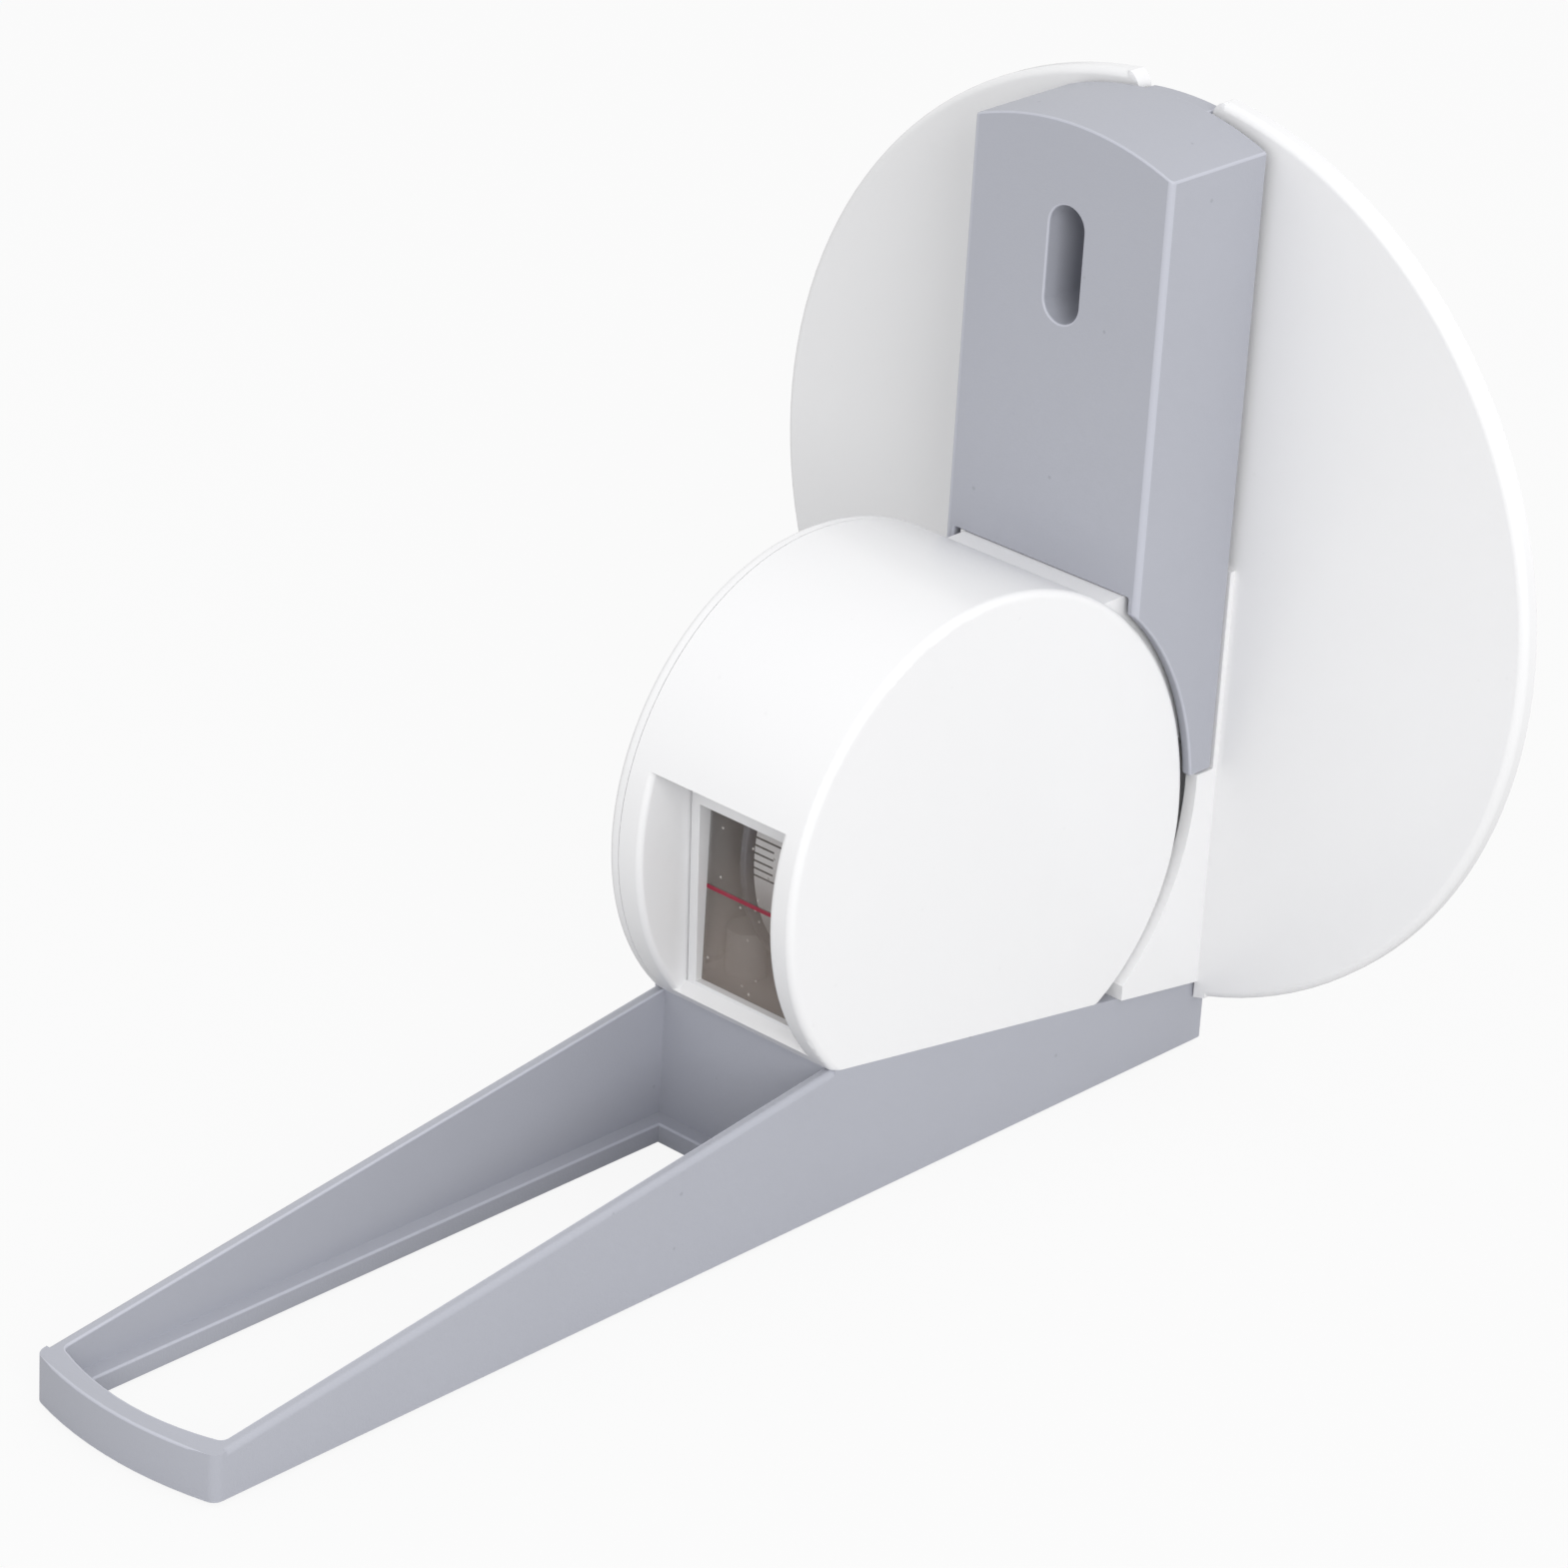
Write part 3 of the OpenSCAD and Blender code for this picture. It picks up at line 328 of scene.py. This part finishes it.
# ---- Reel ---------------------------------------------------------------------------------
# Hub and two flanges of dark grey acetal, which turn on a steel axle between two washers. A
# blued clock spring, held on a fixed arbor, winds the tape back.

dark_acetal = moulded_plastic("dark_acetal", colour(106, 109, 117), 0.38, 8e-6, 3e-4, 0.05, 0.1)
for node in ("reel_drum", "reel_cover"):
    finished(moulding(node, 0.00015), "reel", dark_acetal)
bright_steel = plated_steel("bright_steel", colour(205, 206, 208), 0.22)
coated(("reel_axle", "thrust_washers", "spring_arbor", "guide_pin"), bright_steel)
blued_steel = plated_steel("blued_steel", colour(96, 102, 118), 0.3)
coated(["recoil_spring"], blued_steel)


# ---- Tape ---------------------------------------------------------------------------------
# Steel strip, 7 mm wide, enamelled white and printed with a mark for each millimetre from
# one edge. Each fifth mark is longer, and each tenth longer still. It is wound on the reel,
# runs over the guide pin and is clamped in the bracket.

tape_half, tape_thick = 0.0035, 0.00015
mark_pitch, mark_half = 0.001, 0.00009

ink_tint = colour(20, 20, 23)


def strip_enamel(name, with_marks):
    """White enamel, with printed millimetre marks up the height where with_marks is true."""
    finish = moulded_plastic(name, colour(247, 247, 248), 0.34, 1e-6, 8e-4, 0.01)
    if not with_marks:
        return finish
    nodes, links = finish.node_tree.nodes, finish.node_tree.links

    def worked(kind, a, b):
        step = nodes.new("ShaderNodeMath")
        step.operation = kind
        for socket, value in zip(step.inputs, (a, b)):
            if isinstance(value, float):
                socket.default_value = value
            else:
                links.new(value, socket)
        return step.outputs[0]

    split = nodes.new("ShaderNodeSeparateXYZ")
    place = next(n for n in nodes if n.type == "TEX_COORD")
    links.new(place.outputs["Object"], split.inputs[0])
    across, up = split.outputs["X"], split.outputs["Z"]
    printed = None
    for pitch, reach in ((mark_pitch, 0.0002), (0.005, 0.0013), (0.01, 0.0024)):
        in_mark = worked("LESS_THAN", worked("PINGPONG", up, pitch / 2), mark_half)
        mark = worked("MULTIPLY", in_mark, worked("LESS_THAN", across, reach))
        printed = mark if printed is None else worked("MAXIMUM", printed, mark)
    inked = nodes.new("ShaderNodeMix")
    inked.data_type = "RGBA"
    inked.inputs["B"].default_value = ink_tint
    shader = nodes["Principled BSDF"]
    links.new(shader.inputs["Base Color"].links[0].from_socket, inked.inputs["A"])
    links.new(printed, inked.inputs["Factor"])
    links.new(inked.outputs["Result"], shader.inputs["Base Color"])
    return finish


plain_enamel = strip_enamel("white_enamel", False)
marked_enamel = strip_enamel("printed_enamel", True)
coated(("tape_coil", "tape_lead"), plain_enamel)
coated(["tape_end"], marked_enamel)

# marks round the wound tape, one a millimetre; the rest of its outer turn is blank
tape_ink = moulded_plastic("tape_ink", ink_tint, 0.5, 1e-6, 2e-4, 0.08)
reel_y, reel_z, coil_r = -0.0456, 0.039795, 0.0205
ink_depth = 0.00001
measure = "NodeSocketFloat"
print_inputs = (
    ("Marks", "NodeSocketInt", 116),
    ("First angle", measure, math.radians(186.5)),
    ("Angle between marks", measure, -mark_pitch / coil_r),
    ("Radius", measure, coil_r),
    ("Left end", measure, -tape_half),
    ("Length", measure, 0.0031),
    ("Extra length of each fifth", measure, 0.001),
    ("Thickness", measure, 0.00024),
    ("Ink", "NodeSocketMaterial", tape_ink))
tree = bpy.data.node_groups.new("tape_marks", "GeometryNodeTree")
sockets = {}
for label, kind, _ in print_inputs:
    socket = tree.interface.new_socket(name=label, in_out="INPUT", socket_type=kind)
    sockets[label] = socket.identifier
tree.interface.new_socket(name="Geometry", in_out="OUTPUT", socket_type="NodeSocketGeometry")
given = tree.nodes.new("NodeGroupInput")
result = tree.nodes.new("NodeGroupOutput")


def wired(kind, *wires, **settings):
    """A node of the tree with its settings and its inputs wired or filled in."""
    node = tree.nodes.new(kind)
    for key, value in settings.items():
        setattr(node, key, value)
    for slot_name, value in wires:
        if isinstance(value, bpy.types.NodeSocket):
            tree.links.new(value, node.inputs[slot_name])
        else:
            node.inputs[slot_name].default_value = value
    return node


def reckoned(kind, a, b=0.0):
    """The result of one sum in the tree."""
    return wired("ShaderNodeMath", (0, a), (1, b), operation=kind).outputs[0]


number = wired("GeometryNodeInputIndex").outputs[0]
turned = reckoned("ADD", given.outputs["First angle"],
                  reckoned("MULTIPLY", number, given.outputs["Angle between marks"]))
fifth = reckoned("LESS_THAN", reckoned("MODULO", number, 5.0), 0.5)
tenth = reckoned("LESS_THAN", reckoned("MODULO", number, 10.0), 0.5)
length = reckoned("ADD", given.outputs["Length"], reckoned(
    "MULTIPLY", reckoned("ADD", fifth, tenth), given.outputs["Extra length of each fifth"]))
spot = wired("ShaderNodeCombineXYZ",
             ("X", reckoned("ADD", given.outputs["Left end"], reckoned("MULTIPLY", length, 0.5))),
             ("Y", reckoned("MULTIPLY", given.outputs["Radius"], reckoned("COSINE", turned))),
             ("Z", reckoned("MULTIPLY", given.outputs["Radius"], reckoned("SINE", turned))))
row = wired("GeometryNodeMeshLine", ("Count", given.outputs["Marks"]))
placed = wired("GeometryNodeSetPosition", ("Geometry", row.outputs[0]),
               ("Position", spot.outputs[0]))
unit = wired("GeometryNodeMeshCube", ("Size", (1.0, 1.0, 1.0)))
lean = wired("ShaderNodeCombineXYZ", ("X", turned))
size = wired("ShaderNodeCombineXYZ", ("X", length), ("Y", ink_depth),
             ("Z", given.outputs["Thickness"]))
stamped = wired("GeometryNodeInstanceOnPoints", ("Points", placed.outputs[0]),
                ("Instance", unit.outputs["Mesh"]), ("Rotation", lean.outputs[0]),
                ("Scale", size.outputs[0]))
real = wired("GeometryNodeRealizeInstances", ("Geometry", stamped.outputs[0]))
inked = wired("GeometryNodeSetMaterial", ("Geometry", real.outputs[0]),
              ("Material", given.outputs["Ink"]))
tree.links.new(inked.outputs[0], result.inputs[0])

marks = bpy.data.objects.new("tape_marks", bpy.data.meshes.new("tape_marks"))
bpy.context.collection.objects.link(marks)
printer = marks.modifiers.new("marks", "NODES")
printer.node_group = tree
for label, _, value in print_inputs:
    printer[sockets[label]] = value
settled(marks)
marks.data.transform(Matrix.Translation((0, reel_y, reel_z)))
finished(marks, "reel", tape_ink)

# free run between the guide pin and the bracket, which is paid out as the head goes down
rows, run_u = 160, 0.0116           # rows of faces along the run, and the wall to its middle
low, high = 0.063, 0.079
back, face = -run_u + tape_thick / 2, -run_u - tape_thick / 2
strip = bmesh.new()
rings = []
for i in range(rows + 1):
    z = low + (high - low) * i / rows
    rings.append([strip.verts.new((x, y, z)) for x, y in (
        (-tape_half, face), (tape_half, face), (tape_half, back), (-tape_half, back))])
for a, b in zip(rings, rings[1:]):
    for k in range(4):
        strip.faces.new((a[k], a[(k + 1) % 4], b[(k + 1) % 4], b[k]))
strip.faces.new(reversed(rings[0]))
strip.faces.new(rings[-1])
run_mesh = bpy.data.meshes.new("free_tape")
strip.to_mesh(run_mesh)
strip.free()
run = bpy.data.objects.new("free_tape", run_mesh)
bpy.context.collection.objects.link(run)
run_mesh.materials.append(marked_enamel)
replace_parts(run, "tape_run")
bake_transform(run)


# ---- Wall disc ----------------------------------------------------------------------------
# Round white ABS moulding that slides on the wall behind the housing and is screwed to it. Two
# cheeks and a foot on its front take the arm's screws.

finished(moulding("wall_disc", 0.0002), "head", white_abs)


# ---- Wall bracket -------------------------------------------------------------------------
# Grey ABS cap, hung on one wall screw through its slot. Its upright front edges are rounded
# to a larger radius than the rest.

bracket_half, bracket_front = 0.0156, -0.0211


def upright_front(line):
    """Full for the two upright edges between the bracket's front and its sides."""
    return float(all(abs(abs(v.co.x) - bracket_half) < on_height
                     and abs(v.co.y - bracket_front) < on_height for v in line.verts))


# its rounded edges take the lighter finish, which paints a highlight along them
finished(moulding("wall_bracket", 0.00025, 0.0007, upright_front, painted_highlight=True),
         "bracket", grey_abs, highlight_abs)


# ---- Room ---------------------------------------------------------------------------------
# Pale matt floor that keeps the shadow, and white surroundings. Three soft square lamps light
# the part from the right, from above and from in front.

floor_half, floor_drop = 3, 0.0004     # the floor lies just under the arm's foot
floor_glow, room_light = 0.9, 0.84

floor_mesh = bpy.data.meshes.new("floor")
floor_mesh.from_pydata([(-floor_half, -floor_half, 0), (floor_half, -floor_half, 0),
                        (floor_half, floor_half, 0), (-floor_half, floor_half, 0)],
                       [], [(0, 1, 2, 3)])
floor_mesh.transform(Matrix.Translation((0, 0, -floor_drop)))
floor = bpy.data.objects.new("floor", floor_mesh)
bpy.context.collection.objects.link(floor)
pale = bpy.data.materials.new("pale_floor")
pale.use_nodes = True
nodes, links = pale.node_tree.nodes, pale.node_tree.links
matt = nodes["Principled BSDF"]
matt.inputs["Base Color"].default_value = (0.6, 0.6, 0.6, 1)
matt.inputs["Roughness"].default_value = 0.9
matt.inputs["Specular IOR Level"].default_value = 0
glow = nodes.new("ShaderNodeEmission")
mix = nodes.new("ShaderNodeMixShader")
path = nodes.new("ShaderNodeLightPath")
seen = nodes.new("ShaderNodeMath")
seen.operation = "MULTIPLY"
seen.inputs[1].default_value = floor_glow
links.new(path.outputs["Is Camera Ray"], seen.inputs[0])
links.new(seen.outputs[0], mix.inputs["Fac"])
links.new(matt.outputs["BSDF"], mix.inputs[1])
links.new(glow.outputs["Emission"], mix.inputs[2])
links.new(mix.outputs["Shader"], nodes["Material Output"].inputs["Surface"])
floor_mesh.materials.append(pale)

world = bpy.data.worlds.new("room")
bpy.context.scene.world = world
world.use_nodes = True
nodes, links = world.node_tree.nodes, world.node_tree.links
back = nodes["Background"]
path = nodes.new("ShaderNodeLightPath")
either = nodes.new("ShaderNodeMath")
either.operation = "MAXIMUM"
any_of = nodes.new("ShaderNodeMath")
any_of.operation = "MAXIMUM"
level = nodes.new("ShaderNodeMapRange")
level.inputs["To Min"].default_value = room_light
level.inputs["To Max"].default_value = 1
links.new(path.outputs["Is Camera Ray"], either.inputs[0])
links.new(path.outputs["Is Glossy Ray"], either.inputs[1])
links.new(either.outputs[0], any_of.inputs[0])
links.new(path.outputs["Is Transmission Ray"], any_of.inputs[1])
links.new(any_of.outputs[0], level.inputs["Value"])
links.new(level.outputs["Result"], back.inputs["Strength"])
back.inputs["Color"].default_value = (1, 1, 1, 1)


lit_point = (0, -0.05, 0.05)


def lamp(name, place, size, power):
    """A soft square lamp at a place, turned to the point that is lit."""
    data = bpy.data.lights.new(name, "AREA")
    data.size, data.energy = size, power
    made = bpy.data.objects.new(name, data)
    made.location = place
    made.rotation_mode = "QUATERNION"
    made.rotation_quaternion = (Vector(lit_point) - Vector(place)).to_track_quat("-Z", "Y")
    bpy.context.collection.objects.link(made)


lamp("side_lamp", (0.95, -0.6, 0.5), 0.6, 5.9)
lamp("top_lamp", (0.2, 0.1, 1.25), 0.5, 1.5)
lamp("front_lamp", (-0.25, -1.15, 0.35), 0.6, 0.7)

camera_data = bpy.data.cameras.new("camera")
camera_data.sensor_width = 36
camera_data.lens = 144.822
camera_data.clip_start, camera_data.clip_end = 0.01, 20
camera = bpy.data.objects.new("camera", camera_data)
bpy.context.collection.objects.link(camera)
right = (0.72598299, 0.68550925, 0.05500699)
down = (0.3309551, -0.27813863, -0.9017248)
ahead = (-0.60284113, 0.67284171, -0.4287967)
stand = (0.45159, -0.56950, 0.37184)
camera.matrix_world = Matrix([
    (right[i], -down[i], -ahead[i], stand[i]) for i in range(3)] + [(0, 0, 0, 1)])
bpy.context.scene.camera = camera
bpy.context.scene.view_settings.view_transform = "Standard"
